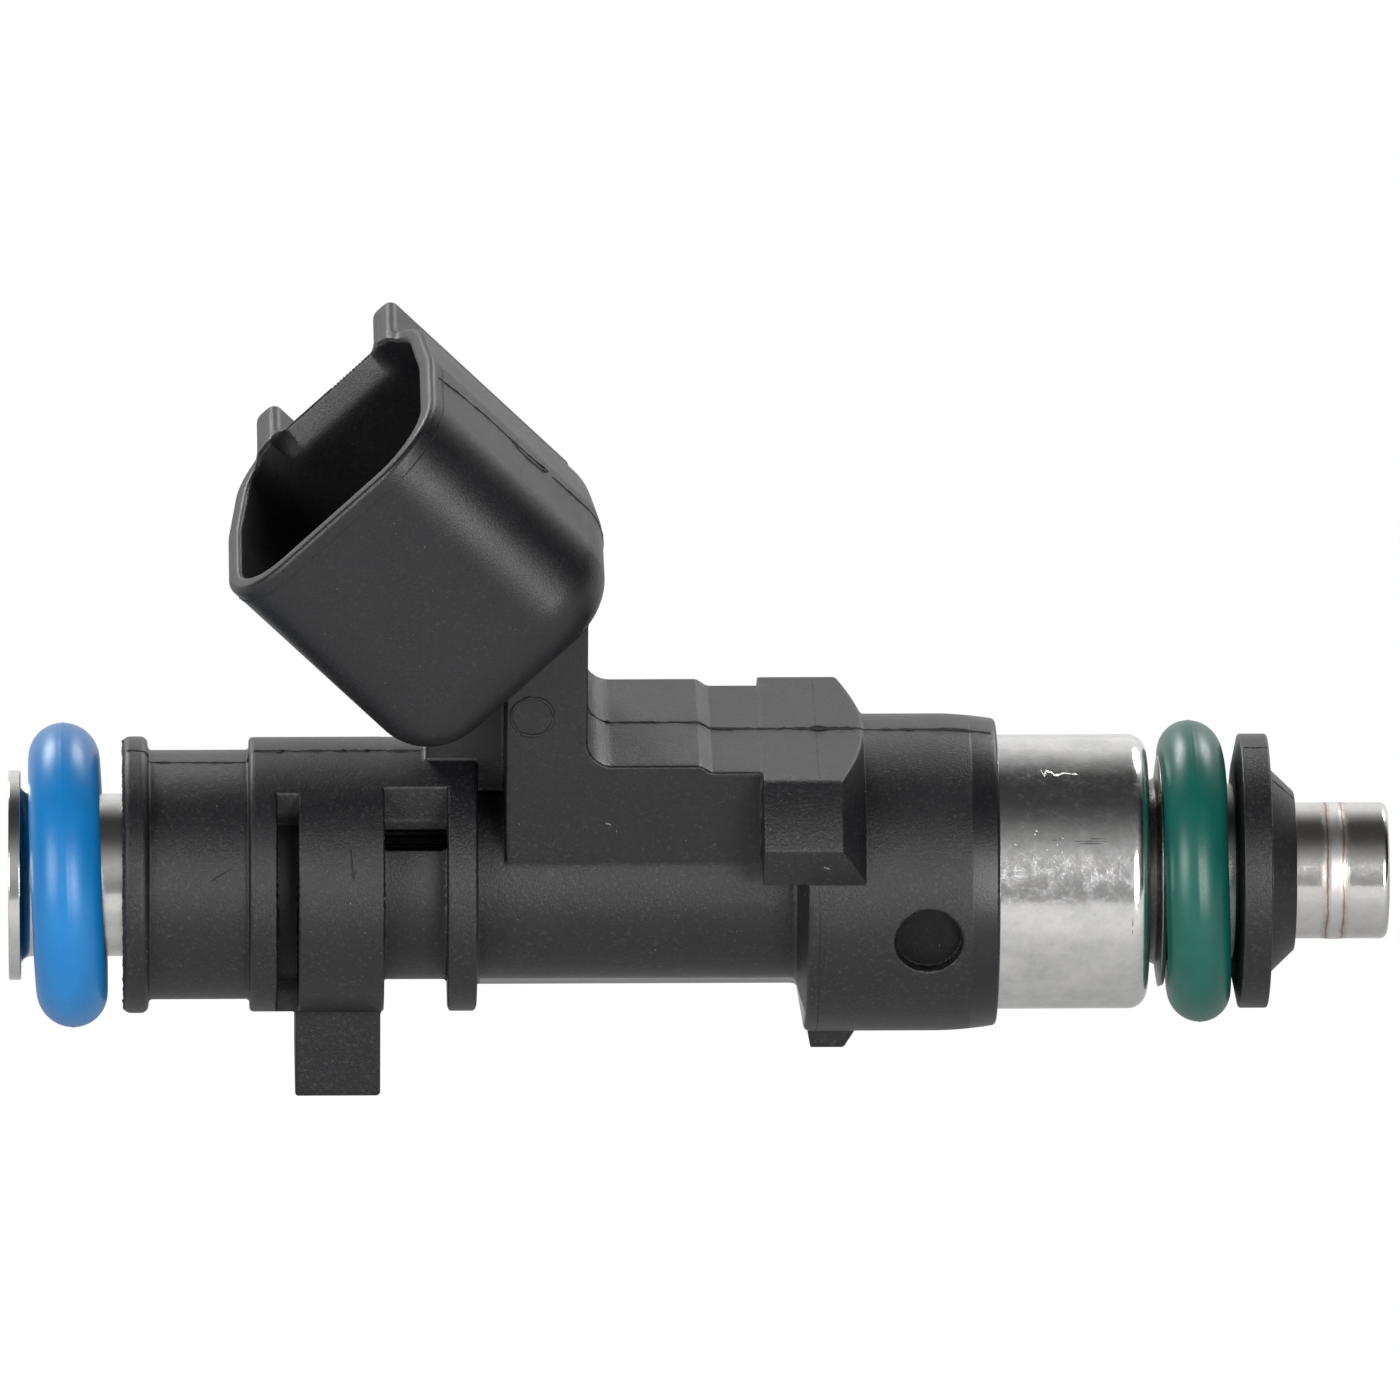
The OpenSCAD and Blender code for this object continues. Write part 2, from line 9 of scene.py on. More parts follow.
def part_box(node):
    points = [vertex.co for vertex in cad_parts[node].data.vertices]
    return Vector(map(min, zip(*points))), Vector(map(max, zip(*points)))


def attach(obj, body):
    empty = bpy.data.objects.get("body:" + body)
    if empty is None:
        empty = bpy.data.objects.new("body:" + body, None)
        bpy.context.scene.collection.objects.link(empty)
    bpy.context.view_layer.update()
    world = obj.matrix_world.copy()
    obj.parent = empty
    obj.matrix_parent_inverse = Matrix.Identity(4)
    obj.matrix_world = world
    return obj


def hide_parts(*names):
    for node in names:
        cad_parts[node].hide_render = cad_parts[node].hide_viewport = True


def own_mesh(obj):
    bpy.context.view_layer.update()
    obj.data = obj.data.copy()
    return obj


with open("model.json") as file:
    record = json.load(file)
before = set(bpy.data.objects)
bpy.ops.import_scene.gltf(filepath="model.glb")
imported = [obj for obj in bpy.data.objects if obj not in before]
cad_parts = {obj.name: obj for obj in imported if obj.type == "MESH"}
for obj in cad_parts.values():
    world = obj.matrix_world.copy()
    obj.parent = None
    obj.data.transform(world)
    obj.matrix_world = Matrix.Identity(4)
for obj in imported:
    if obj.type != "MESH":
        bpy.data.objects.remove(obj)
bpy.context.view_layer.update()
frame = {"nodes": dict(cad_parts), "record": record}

# Lengths below are in millimetres. Stations along X are measured from the inlet face.
MM = 0.001
INLET_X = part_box("valve_sleeve")[0].x / MM


# ---------------------------------------------------------------- solid shapes by distance

def length(*parts):
    return np.sqrt(sum(p * p for p in parts))


def join(a, b, r):
    """Union of two solids with a fillet of radius r."""
    return np.maximum(r, np.minimum(a, b)) - length(np.maximum(r - a, 0), np.maximum(r - b, 0))


def both(a, b, r):
    """What two solids share, with its edge rounded to radius r."""
    if r == 0:
        return np.maximum(a, b)
    return np.minimum(-r, np.maximum(a, b)) + length(np.maximum(r + a, 0), np.maximum(r + b, 0))


def cut(a, b, r):
    """Solid a without b, its new edges rounded to radius r."""
    return both(a, -b, r)


def slab(v, low, high):
    return np.maximum(low - v, v - high)


def outline(u, v, points):
    """Distance to a closed outline of points."""
    best = np.full(u.shape, 1e9)
    inside = np.zeros(u.shape, bool)
    for (u0, v0), (u1, v1) in zip(points, points[1:] + points[:1]):
        eu, ev, wu, wv = u1 - u0, v1 - v0, u - u0, v - v0
        t = np.clip((wu * eu + wv * ev) / (eu * eu + ev * ev), 0, 1)
        best = np.minimum(best, (wu - eu * t) ** 2 + (wv - ev * t) ** 2)
        crosses = (v0 <= v) != (v1 <= v)
        if ev:
            inside ^= crosses & (u < u0 + (v - v0) * eu / ev)
    return np.where(inside, -1, 1) * np.sqrt(best)


def plate(u, v, lows, highs, r):
    """A rectangle in two directions with corners of radius r."""
    qu = np.abs(u - (lows[0] + highs[0]) / 2) - (highs[0] - lows[0]) / 2 + r
    qv = np.abs(v - (lows[1] + highs[1]) / 2) - (highs[1] - lows[1]) / 2 + r
    return length(np.maximum(qu, 0), np.maximum(qv, 0)) + np.minimum(np.maximum(qu, qv), 0) - r


def drum(x, rad, x0, x1, outer, edge):
    """A disc or shaft on the axis, with rounded ends."""
    return plate(x, rad, (x0, -outer), (x1, outer), edge)


def arc(cu, cv, r, start, end, steps=10):
    turns = [math.radians(start + (end - start) * i / steps) for i in range(steps + 1)]
    return [(cu + r * math.cos(a), cv + r * math.sin(a)) for a in turns]


def gradient(field, p, step=0.02):
    """Direction in which the distance grows, and the distance, at points p."""
    k = np.array([[1, -1, -1], [-1, -1, 1], [-1, 1, -1], [1, 1, 1]], float)
    total = np.zeros_like(p)
    mean = np.zeros(len(p))
    for row in k:
        q = p + step * row
        d = field(q[:, 0], q[:, 1], q[:, 2])
        total += d[:, None] * row
        mean += d / 4
    return total / (4 * step), mean


def settle(field, p, reach, rounds=4):
    """Moves points onto the surface, each round by no more than reach."""
    for _ in range(rounds):
        g, d = gradient(field, p)
        move = -d[:, None] * g / np.maximum((g * g).sum(1), 0.2)[:, None]
        size = np.linalg.norm(move, axis=1)
        p = p + move * np.minimum(1, reach / np.maximum(size, 1e-9))[:, None]
    return p


def surface_of(field, low, high, size, levels=3):
    """Points and four-cornered faces of a solid's surface, on a grid of the given size."""
    low = np.array(low, float)
    step = size * 2 ** levels
    counts = np.ceil((np.array(high) - low) / step).astype(int)
    cells = np.stack(np.meshgrid(*[np.arange(n) for n in counts], indexing="ij"), -1).reshape(-1, 3)
    corners = np.array([[i, j, k] for i in (0, 1) for j in (0, 1) for k in (0, 1)])
    for level in range(levels, -1, -1):
        s = size * 2 ** level
        centre = low + (cells + 0.5) * s
        near = np.abs(field(centre[:, 0], centre[:, 1], centre[:, 2])) <= s * 1.25
        cells = cells[near]
        if level:
            cells = (cells[:, None, :] * 2 + corners[None]).reshape(-1, 3)
    span = counts * 2 ** levels + 4

    def key(c):
        return ((c[..., 0] + 1) * span[1] + c[..., 1] + 1) * span[2] + c[..., 2] + 1

    all_corners = cells[:, None, :] + corners[None]
    keys, where = np.unique(key(all_corners).ravel(), return_inverse=True)
    where = where.reshape(-1)
    spots = np.zeros((len(keys), 3))
    spots[where] = all_corners.reshape(-1, 3)
    spots = low + spots * size
    value = field(spots[:, 0], spots[:, 1], spots[:, 2])[where].reshape(-1, 8)
    mixed = (value < 0).any(1) & (value >= 0).any(1)
    cells, value = cells[mixed], value[mixed]
    order = np.argsort(key(cells))
    cells, value = cells[order], value[order]
    cell_keys = key(cells)
    total, count = np.zeros((len(cells), 3)), np.zeros(len(cells))
    for a in range(8):
        for b in range(a + 1, 8):
            if np.abs(corners[a] - corners[b]).sum() != 1:
                continue
            crossed = (value[:, a] < 0) != (value[:, b] < 0)
            t = np.where(crossed, value[:, a] / np.where(crossed, value[:, a] - value[:, b], 1), 0)
            spot = corners[a] + t[:, None] * (corners[b] - corners[a])
            total += np.where(crossed[:, None], spot, 0)
            count += crossed
    points = low + (cells + total / count[:, None]) * size
    faces = []
    units = np.eye(3, dtype=int)
    for axis in range(3):
        far = int(np.dot(units[axis], [4, 2, 1]))
        crossed = (value[:, 0] < 0) != (value[:, far] < 0)
        e, f = units[(axis + 1) % 3], units[(axis + 2) % 3]
        own = cells[crossed]
        quad = np.stack([np.searchsorted(cell_keys, key(own - d)) for d in (0 * e, e, e + f, f)], 1)
        flip = value[crossed, 0] >= 0
        quad[flip] = quad[flip][:, ::-1]
        faces.append(quad)
    return settle(field, points, size * 0.6), np.concatenate(faces)


def new_object(name, data):
    thing = bpy.data.objects.new(name, data)
    bpy.context.scene.collection.objects.link(thing)
    return thing


def mesh_from(name, points, faces, material):
    """A mesh object from points in millimetres, stations measured from the inlet."""
    mesh = bpy.data.meshes.new(name)
    points = np.asarray(points, float)
    mesh.vertices.add(len(points))
    placed = (points + np.array([INLET_X, 0, 0])) * MM
    mesh.vertices.foreach_set("co", placed.astype(np.float32).ravel())
    sides = faces.shape[1]
    mesh.loops.add(faces.size)
    mesh.loops.foreach_set("vertex_index", faces.astype(np.int32).ravel())
    mesh.polygons.add(len(faces))
    mesh.polygons.foreach_set("loop_start", np.arange(0, faces.size, sides, dtype=np.int32))
    mesh.update(calc_edges=True)
    mesh.validate()
    mesh.shade_smooth()
    mesh.materials.append(material)
    return new_object(name, mesh)


def moulded(name, field, low, high, size, most_faces, material):
    """A moulded piece made from its distance field, thinned to most_faces triangles."""
    points, faces = surface_of(field, low, high, size)
    thing = mesh_from(name, points, faces, material)
    if 2 * len(faces) > most_faces:
        thin = thing.modifiers.new("thin", "DECIMATE")
        thin.ratio = most_faces / (2 * len(faces))
        thinned = thing.evaluated_get(bpy.context.evaluated_depsgraph_get())
        made = bpy.data.meshes.new_from_object(thinned)
        thing.modifiers.clear()
        thing.data = made
    mesh = thing.data
    co = np.empty(len(mesh.vertices) * 3, np.float32)
    mesh.vertices.foreach_get("co", co)
    p = co.reshape(-1, 3).astype(float) / MM - np.array([INLET_X, 0, 0])
    p = settle(field, p, size * 0.3, 2)
    placed = (p + np.array([INLET_X, 0, 0])) * MM
    mesh.vertices.foreach_set("co", placed.astype(np.float32).ravel())
    g, _ = gradient(field, p)
    g /= np.maximum(np.linalg.norm(g, axis=1), 1e-9)[:, None]
    mesh.update()
    mesh.normals_split_custom_set_from_vertices(g.astype(np.float32))
    return thing


# ---------------------------------------------------------------- the overmold's shape

NECK_R = 6.13
BAND_R = 6.75
REAR_R = 7.8
SLEEVE_R = 4.0
CAN_R = 6.75
# The connector: middle of its mouth, its lean, and its inside as corners grown by a radius
MOUTH = (15.68, 0.3, 22.76)
TILT = math.radians(45.5 - 90)
SOCKET_R = 2.95
SOCKET_DEPTH = 11.0
WALL = 0.9
SHROUD_FACE = 7.0
SOCKET = [(-3.15, -4.05), (3.15, -4.05), (3.15, 0.3), (2.66, 3.65), (-2.66, 3.65), (-3.15, 0.3)]


def overmold(x, y, z):
    rad = length(y, z)
    ay = np.abs(y)
    # Collar, neck and clip band
    body = join(drum(x, rad, 5.6, 6.85, 6.8, 0.38), drum(x, rad, 6.0, 12.2, NECK_R, 0), 0.15)
    lean = 0.13 * np.clip(-z - 5.2, 0, 2)
    band = both(drum(x, rad, 11.8, 23.0, BAND_R, 0.22), x - 23.0 + lean, 0.15)
    body = join(body, band, 0.1)
    groove = np.maximum(np.maximum(slab(x, 13.15, 14.2), 5.3 - rad), 3.13 - ay)
    body = cut(body, groove, 0.08)
    reach = slab(x, 18.4, 21.5 + lean)
    web = np.maximum(ay - 2.8, -z)
    pocket = np.maximum(np.maximum(reach, 5.15 - rad), -web)
    above = np.maximum(np.maximum(reach, 2.8 - ay), 3.35 - z)
    trench = np.maximum(np.maximum(reach, slab(ay, 2.2, 3.9)), slab(z, 2.0, 3.7))
    trench = np.maximum(trench, 4.15 - rad)
    body = cut(body, np.minimum(pocket, above), 0.1)
    # Barrel and the body over the magnet housing
    barrel = drum(x, rad, 17.0, 40.0, 5.15, 0)
    barrel = cut(barrel, above, 0.08)
    body = join(body, barrel, 0.12)
    body = cut(body, trench, 0.06)
    rear = both(rad - REAR_R, 39.1 - 0.17 * (REAR_R - rad) - x, 0.22)
    rear = both(rear, (rad - REAR_R + 0.2 * (x - 47.14)) / 1.02, 0.3)
    rear = both(rear, x - 48.5, 0.18)
    body = join(body, rear, 0.2)
    # Tab, keel and lug
    tab = both(plate(x, z, (14.05, -10.78), (18.25, -3.0), 0.15), ay - 2.95, 0.12)
    body = join(body, tab, 0.12)
    keel = both(outline(y, z, [(-2.6, -4.2), (0, -6.1), (2.6, -4.2)]), slab(x, 22.5, 39.6), 0)
    body = join(body, keel, 0.25)
    lug = [(39.15, -5.0), (39.28, -7.7), (39.45, -8.7), (41.1, -8.7), (41.8, -7.5), (41.85, -5.0)]
    body = join(body, both(outline(x, z, lug), ay - 2.0, 0.15), 0.12)
    # Lead block with its neck, and the wide pad at its end
    side = ay - np.interp(z, [2.0, 7.0, 8.3], [4.4, 4.87, 4.95])
    top = [(24.33, 2.0), (37.4, 2.0), (37.4, 7.88), (34.4, 7.88), (33.85, 8.24)]
    top += arc(29.6, 9.54, 1.3, 270, 180) + [(28.3, 17.0), (24.33, 17.0)]
    block = both(outline(x, z, top), side, 0.13)
    body = join(body, block, 0.1)
    saddle = both(rad - 9.8, z - 7.88, 0.1)
    saddle = both(saddle, 0.909 * ay - 0.417 * z - 5.376, 0.1)
    saddle = both(saddle, (x - 40.72 - 0.6 * (9.8 - rad)) / 1.17, 0.08)
    saddle = both(saddle, np.maximum(np.maximum(2.89 - z, 36.87 - x), 4.5 - rad), 0.06)
    body = join(body, saddle, 0.03)
    # Web between the band and the neck, under the connector
    rib = both(plate(x, z, (20.5, 5.0), (24.6, 12.0), 0.1), ay - 1.0, 0.12)
    body = join(body, rib, 0.15)
    # Connector shroud in its own directions: u from blade to blade, v to the latch, w out of it
    mx, my, mz = x - MOUTH[0], y - MOUTH[1], z - MOUTH[2]
    u = mx * math.cos(TILT) - mz * math.sin(TILT)
    w = mx * math.sin(TILT) + mz * math.cos(TILT)
    v = my
    core = outline(u, v, SOCKET)
    outside = both(core - SOCKET_R - WALL, -w - 13.8, 3.0)
    outside = both(outside, w, 0.32)
    rails = both(plate(np.abs(u), v, (3.25, 5.0), (4.75, 10.6), 0.55), slab(w, -12.5, 0.3), 0.45)
    ramp = outline(v, w, [(7.0, -2.2), (8.9, -5.2), (8.9, -6.2), (7.0, -6.2)])
    ramp = both(ramp, np.abs(u) - 1.9, 0.2)
    outside = join(join(outside, rails, 0.25), ramp, 0.1)
    body = join(body, outside, 0.12)
    # Lead-in on the latch side, between the corners
    lead_in = 0.275 * (w + 1.35 + length(w + 1.35, 0.3))
    lead_in = lead_in * np.clip((v - 3) / 1.5, 0, 1) * np.clip((3.7 - np.abs(u)) / 0.8, 0, 1)
    body = cut(body, both(core - SOCKET_R - lead_in, -w - SOCKET_DEPTH, 0.5), 0.22)
    # Bore for the steel parts and the round recess on both sides
    body = cut(body, np.minimum(rad - SLEEVE_R, np.maximum(rad - CAN_R, 41.0 - x)), 0.05)
    recess = np.maximum(length(x - 45.0, z) - 1.65, 7.0 - ay)
    return cut(body, recess, 0.1)


# ---------------------------------------------------------------- turned and ring-shaped pieces

def rounded(points):
    """Outline of a closed profile of (station, radius, corner radius), and its outward normals."""
    count = len(points)
    area = sum(points[i - 1][0] * points[i][1] - points[i][0] * points[i - 1][1]
               for i in range(count))
    spots, outs = [], []
    for i, (cx, cr, corner) in enumerate(points):
        here = Vector((cx, cr))
        a = (Vector(points[i - 1][:2]) - here).normalized()
        b = (Vector(points[(i + 1) % count][:2]) - here).normalized()
        half = math.acos(max(-1.0, min(1.0, a.dot(b)))) / 2
        corner = max(corner, 0.03)
        centre = here + (a + b).normalized() * (corner / math.sin(half))
        start, end = here + a * (corner / math.tan(half)), here + b * (corner / math.tan(half))
        t0 = math.atan2(start.y - centre.y, start.x - centre.x)
        t1 = math.atan2(end.y - centre.y, end.x - centre.x)
        swing = (t1 - t0 + math.pi) % (2 * math.pi) - math.pi
        convex = (b.x * a.y - b.y * a.x) * area > 0
        steps = max(3, math.ceil(abs(swing) / math.radians(9)))
        for k in range(steps + 1):
            t = t0 + swing * k / steps
            way = Vector((math.cos(t), math.sin(t)))
            spots.append(centre + way * corner)
            outs.append(way if convex else -way)
    if area > 0:
        spots.reverse()
        outs.reverse()
    return np.array(spots), np.array(outs)


def revolve(name, spots, outs, look, slices=240, shape=None):
    """A solid of revolution about the axis. shape may move its points, given the turn round it."""
    turns = np.linspace(0, 2 * math.pi, slices, endpoint=False)
    sides = len(spots)
    across, up = np.cos(turns)[:, None], np.sin(turns)[:, None]
    x, r = np.tile(spots[:, 0], (slices, 1)), np.tile(spots[:, 1], (slices, 1))
    if shape:
        x, r = shape(x, r, turns[:, None])
    points = np.stack([x, r * across, r * up], -1).reshape(-1, 3)
    normals = np.stack([np.tile(outs[:, 0], (slices, 1)), outs[:, 1] * across, outs[:, 1] * up], -1)
    i, j = np.meshgrid(np.arange(slices), np.arange(sides), indexing="ij")
    i2, j2 = (i + 1) % slices, (j + 1) % sides
    faces = np.stack([i * sides + j, i2 * sides + j, i2 * sides + j2, i * sides + j2], -1)
    thing = mesh_from(name, points, faces.reshape(-1, 4), look)
    if not shape:
        thing.data.normals_split_custom_set_from_vertices(normals.reshape(-1, 3).astype(np.float32))
    return thing


def turned(name, points, look):
    return revolve(name, *rounded(points), look)


def stands_for(thing, node):
    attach(thing, "housing")
    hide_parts(node)


# ---------------------------------------------------------------- materials

def plug(tree, socket, value):
    """Links a node or one of its outputs to a socket, or sets the socket to a plain value."""
    if isinstance(value, bpy.types.Node):
        value = value.outputs[0]
    if isinstance(value, bpy.types.NodeSocket):
        tree.links.new(value, socket)
    else:
        socket.default_value = value


def add_node(tree, kind, *inputs, **settings):
    node = tree.nodes.new(kind)
    for key, value in settings.items():
        setattr(node, key, value)
    for index, value in enumerate(inputs):
        plug(tree, node.inputs[index], value)
    return node


class Look:
    """A material built of nodes. Its place coordinates are the part's own, in millimetres."""

    def __init__(self, name, **sockets):
        self.material = bpy.data.materials.new(name)
        self.material.use_nodes = True
        self.tree = self.material.node_tree
        self.shader = self.tree.nodes["Principled BSDF"]
        self.set(**sockets)
        place = self.add("ShaderNodeTexCoord").outputs["Object"]
        self.place = self.stretched((1 / MM,) * 3, place)

    def add(self, kind, *inputs, **settings):
        return add_node(self.tree, kind, *inputs, **settings)

    def set(self, **sockets):
        for key, value in sockets.items():
            if isinstance(value, tuple) and len(value) == 3:
                value = (*value, 1)
            plug(self.tree, self.shader.inputs[key.replace("_", " ")], value)

    def stretched(self, scale, place=None):
        node = self.add("ShaderNodeVectorMath", place or self.place, scale, operation="MULTIPLY")
        return node.outputs[0]

    def away(self, place):
        """Distance of a place from the origin."""
        return self.add("ShaderNodeVectorMath", place, operation="LENGTH").outputs["Value"]

    def stretch_of_axis(self, start, end, fade=0.1, last_fade=None):
        """1 between two stations measured from the inlet, fading to 0 outside them."""
        x = self.add("ShaderNodeSeparateXYZ", self.place).outputs["X"]
        start, end = INLET_X + start, INLET_X + end
        rise = self.range(x, start, start + fade)
        return self.math("MULTIPLY", rise, self.range(x, end, end - (last_fade or fade)))

    def noise(self, scale, detail=3.0, rough=0.55):
        node = self.add("ShaderNodeTexNoise", self.place)
        node.inputs["Scale"].default_value = scale
        node.inputs["Detail"].default_value = detail
        node.inputs["Roughness"].default_value = rough
        return node.outputs[0]

    def cells(self, scale):
        node = self.add("ShaderNodeTexVoronoi", self.place)
        node.inputs["Scale"].default_value = scale
        return node

    def range(self, value, low, high, to_low=0.0, to_high=1.0):
        return self.add("ShaderNodeMapRange", value, low, high, to_low, to_high).outputs[0]

    def math(self, kind, a, b=0.0):
        return self.add("ShaderNodeMath", a, b, operation=kind).outputs[0]

    def mix(self, share, a, b):
        node = self.add("ShaderNodeMix", data_type="RGBA")
        plug(self.tree, node.inputs[0], share)
        for socket, value in ((node.inputs[6], a), (node.inputs[7], b)):
            plug(self.tree, socket, (*value, 1) if isinstance(value, tuple) else value)
        return node.outputs[2]

    def bump(self, height, strength, distance):
        """distance is in millimetres."""
        node = self.add("ShaderNodeBump")
        node.inputs["Strength"].default_value = strength
        node.inputs["Distance"].default_value = distance * MM
        plug(self.tree, node.inputs["Height"], height)
        plug(self.tree, self.shader.inputs["Normal"], node)


def nylon_look(name, grain):
    """Black glass-filled nylon: a fine spark-eroded grain, pale fibre specks and slight mottling.

    The connector and the sides of the lead block come from polished parts of the mould.
    """
    look = Look(name)
    look.shader.inputs["IOR"].default_value = 1.5
    parts = look.add("ShaderNodeSeparateXYZ", look.place).outputs
    # Where the grain is full: not on the connector, the lead block's sides, the keel or the end
    rough_zone = look.range(parts["X"], INLET_X + 28.0, INLET_X + 28.3)
    rough_zone = look.math("MAXIMUM", look.range(parts["Z"], 7.2, 6.2), rough_zone)
    block = look.stretch_of_axis(24.2, 36.9, 0.2)
    block = look.math("MULTIPLY", block, look.range(parts["Z"], 2.3, 2.5))
    block = look.math("MULTIPLY", block, look.range(look.math("ABSOLUTE", parts["Y"]), 4.5, 4.7))
    grained = look.math("SUBTRACT", rough_zone, look.math("MULTIPLY", block, 0.7))
    grained = look.range(grained, 0, 1, 0.42, 1)
    keel = look.stretch_of_axis(23.1, 39.1)
    keel = look.math("MULTIPLY", keel, look.range(parts["Z"], -4.72, -4.8))
    grained = look.math("MULTIPLY", grained, look.math("SUBTRACT", 1.0, keel))
    end = look.stretch_of_axis(47.1, 50)
    grained = look.math("MULTIPLY", grained, look.range(end, 0, 1, 1, 0.4))
    fine, coarse = look.noise(11.0, 4, 0.75), look.noise(0.35, 3, 0.6)
    pebble = look.noise(7.0, 2, 0.6)
    speck = look.cells(3.1)
    dot = look.range(speck.outputs["Distance"], 0.12, 0.05)
    rare = look.range(speck.outputs["Color"], 0.76, 0.84)
    dot = look.math("MULTIPLY", look.math("MULTIPLY", dot, rare), 0.55)
    # Painted glints: random lighter grains in the colour stand in for the grain's glints in the
    # light
    painted_glint = look.range(look.cells(7.5).outputs["Color"], 0.70, 1.0)
    painted_glint = look.math("MULTIPLY", painted_glint, look.math("MULTIPLY", grained, 0.8))
    dark = look.mix(look.range(fine, 0.35, 0.7), (0.0027, 0.0026, 0.0036), (0.0085, 0.0083, 0.0102))
    dark = look.mix(look.range(coarse, 0.35, 0.65, 0.0, 0.35), dark, (0.0085, 0.0083, 0.0102))
    dark = look.mix(painted_glint, dark, (0.030, 0.030, 0.030))
    # Painted shade: the round recess, the slot above the barrel and the clip groove are painted
    # darker and duller, standing in for the shade that falls in them
    hollow = look.add("ShaderNodeVectorMath", look.place, (INLET_X + 45, 0, 0),
                      operation="SUBTRACT")
    hollow = look.away(look.stretched((1, 0, 1), hollow.outputs[0]))
    side = look.math("ABSOLUTE", parts["Y"])
    hollow = look.math("MULTIPLY", look.range(hollow, 1.68, 1.6), look.range(side, 7.3, 7.1))
    slot = look.stretch_of_axis(18.4, 21.6, 0.05, 0.1)
    slot = look.math("MULTIPLY", slot, look.range(parts["Z"], 3.42, 3.36))
    slot = look.math("MULTIPLY", slot, look.range(parts["Z"], 1.9, 1.95))
    slot = look.math("MULTIPLY", slot, look.range(side, 3.92, 3.88))
    from_axis = look.away(look.stretched((0, 1, 1)))
    groove = look.stretch_of_axis(13.14, 14.24, 0.06)
    groove = look.math("MULTIPLY", groove, look.range(from_axis, 5.9, 5.6))
    painted_recess_shade = look.math("MAXIMUM", look.math("MULTIPLY", hollow, 0.65), slot)
    painted_recess_shade = look.math("MAXIMUM", painted_recess_shade, look.math("MULTIPLY", groove, 0.6))
    # Painted shade: less specular and a near-black colour in these recesses
    look.set(Specular_IOR_Level=look.range(painted_recess_shade, 0, 1, 0.5, 0.05))
    plain = look.mix(dot, dark, (0.10, 0.10, 0.10))
    look.set(Base_Color=look.mix(painted_recess_shade, plain, (0.0015, 0.0015, 0.0015)))
    rough = look.range(coarse, 0.3, 0.7, 0.36, 0.43)
    rough = look.math("ADD", look.range(fine, 0.3, 0.7, -0.04, 0.06), rough)
    rough = look.math("SUBTRACT", rough, look.math("MULTIPLY", end, 0.06))
    look.set(Roughness=look.math("SUBTRACT", rough, look.math("MULTIPLY", keel, 0.26)))
    height = look.math("ADD", fine, look.math("MULTIPLY", pebble, 0.8))
    look.bump(look.math("MULTIPLY", height, grained), 0.6, grain)
    return look.material


def rubber_look(name, colour, deep):
    look = Look(name)
    cloud, fine = look.noise(0.8, 3), look.noise(9.0, 3)
    look.set(Base_Color=look.mix(look.range(cloud, 0.3, 0.7), colour, deep))
    look.set(Roughness=look.range(fine, 0.3, 0.7, 0.30, 0.42))
    look.bump(fine, 0.3, 0.008)
    return look.material


def steel_look(name, pale, dark, low, high, frost=0.0, tint=None, grain=0.004, metallic=1.0):
    """Bright drawn steel with a mottled sheen and, where it has been handled, frosty patches."""
    look = Look(name, Metallic=metallic)
    cloud = look.noise(0.55, 8, 0.72)
    fine = look.noise(6.0, 4, 0.7)
    patch = look.math("MULTIPLY", look.range(look.noise(1.3, 8, 0.8), 0.46, 0.66), frost)
    metal = look.mix(look.range(cloud, 0.35, 0.65), pale, dark)
    metal = look.mix(look.math("MULTIPLY", patch, 0.35), metal, (0.80, 0.80, 0.80))
    rough = look.range(cloud, 0.3, 0.7, low, high)
    rough = look.math("ADD", rough, look.range(fine, 0.3, 0.7, -0.02, 0.04))
    rough = look.math("ADD", rough, look.math("MULTIPLY", patch, 0.16))
    height = look.math("ADD", look.math("MULTIPLY", cloud, 4.0), fine)
    if tint:
        metal, weld = tint(look, metal)
        rough = look.math("ADD", rough, look.math("MULTIPLY", weld, 0.22))
    look.set(Base_Color=metal, Roughness=rough)
    look.bump(height, 0.35, grain)
    return look.material


def weld_tint(look, metal):
    """Brown heat colour beside the weld near the nozzle's tip, and how much a place is weld."""
    parts = look.add("ShaderNodeSeparateXYZ", look.place).outputs
    waver = look.range(look.noise(0.9, 2), 0.3, 0.7, -0.05, 0.05)
    station = look.math("ADD", look.math("SUBTRACT", parts["X"], INLET_X + 65.13), waver)
    away = look.math("ABSOLUTE", station)
    near = look.math("MULTIPLY", look.range(away, 0.18, 0.36), look.range(away, 0.72, 0.46))
    patch = look.range(look.noise(1.6, 3), 0.3, 0.6, 0.35, 1.0)
    line = look.math("MULTIPLY", look.range(away, 0.33, 0.37), look.range(away, 0.45, 0.41))
    halo = look.math("MULTIPLY", look.math("MULTIPLY", near, patch), 0.7)
    metal = look.mix(halo, metal, (0.42, 0.31, 0.24))
    metal = look.mix(look.math("MULTIPLY", line, 0.6), metal, (0.12, 0.08, 0.06))
    return metal, look.range(away, 0.75, 0.5)


nylon = nylon_look("black_nylon", 0.042)
blue_rubber = rubber_look("blue_rubber", (0.004, 0.170, 0.45), (0.003, 0.152, 0.41))
green_rubber = rubber_look("green_rubber", (0.0012, 0.090, 0.066), (0.0009, 0.076, 0.055))
can_steel = steel_look("can_steel", (0.78, 0.77, 0.76), (0.60, 0.595, 0.59), 0.08, 0.15, 0.9,
                       grain=0.006)
sleeve_steel = steel_look("sleeve_steel", (0.76, 0.74, 0.72), (0.63, 0.61, 0.59), 0.08, 0.16, 0.3,
                          weld_tint)

# ---------------------------------------------------------------- pieces

# Grid of the overmold's surface, and the triangles it is thinned to
GRID = 0.15
MOST_FACES = 195000
shell = moulded("overmold_shell", overmold, (5.0, -8.4, -11.2), (49.2, 11.6, 28.4),
                GRID, MOST_FACES, nylon)
stands_for(shell, "overmold")

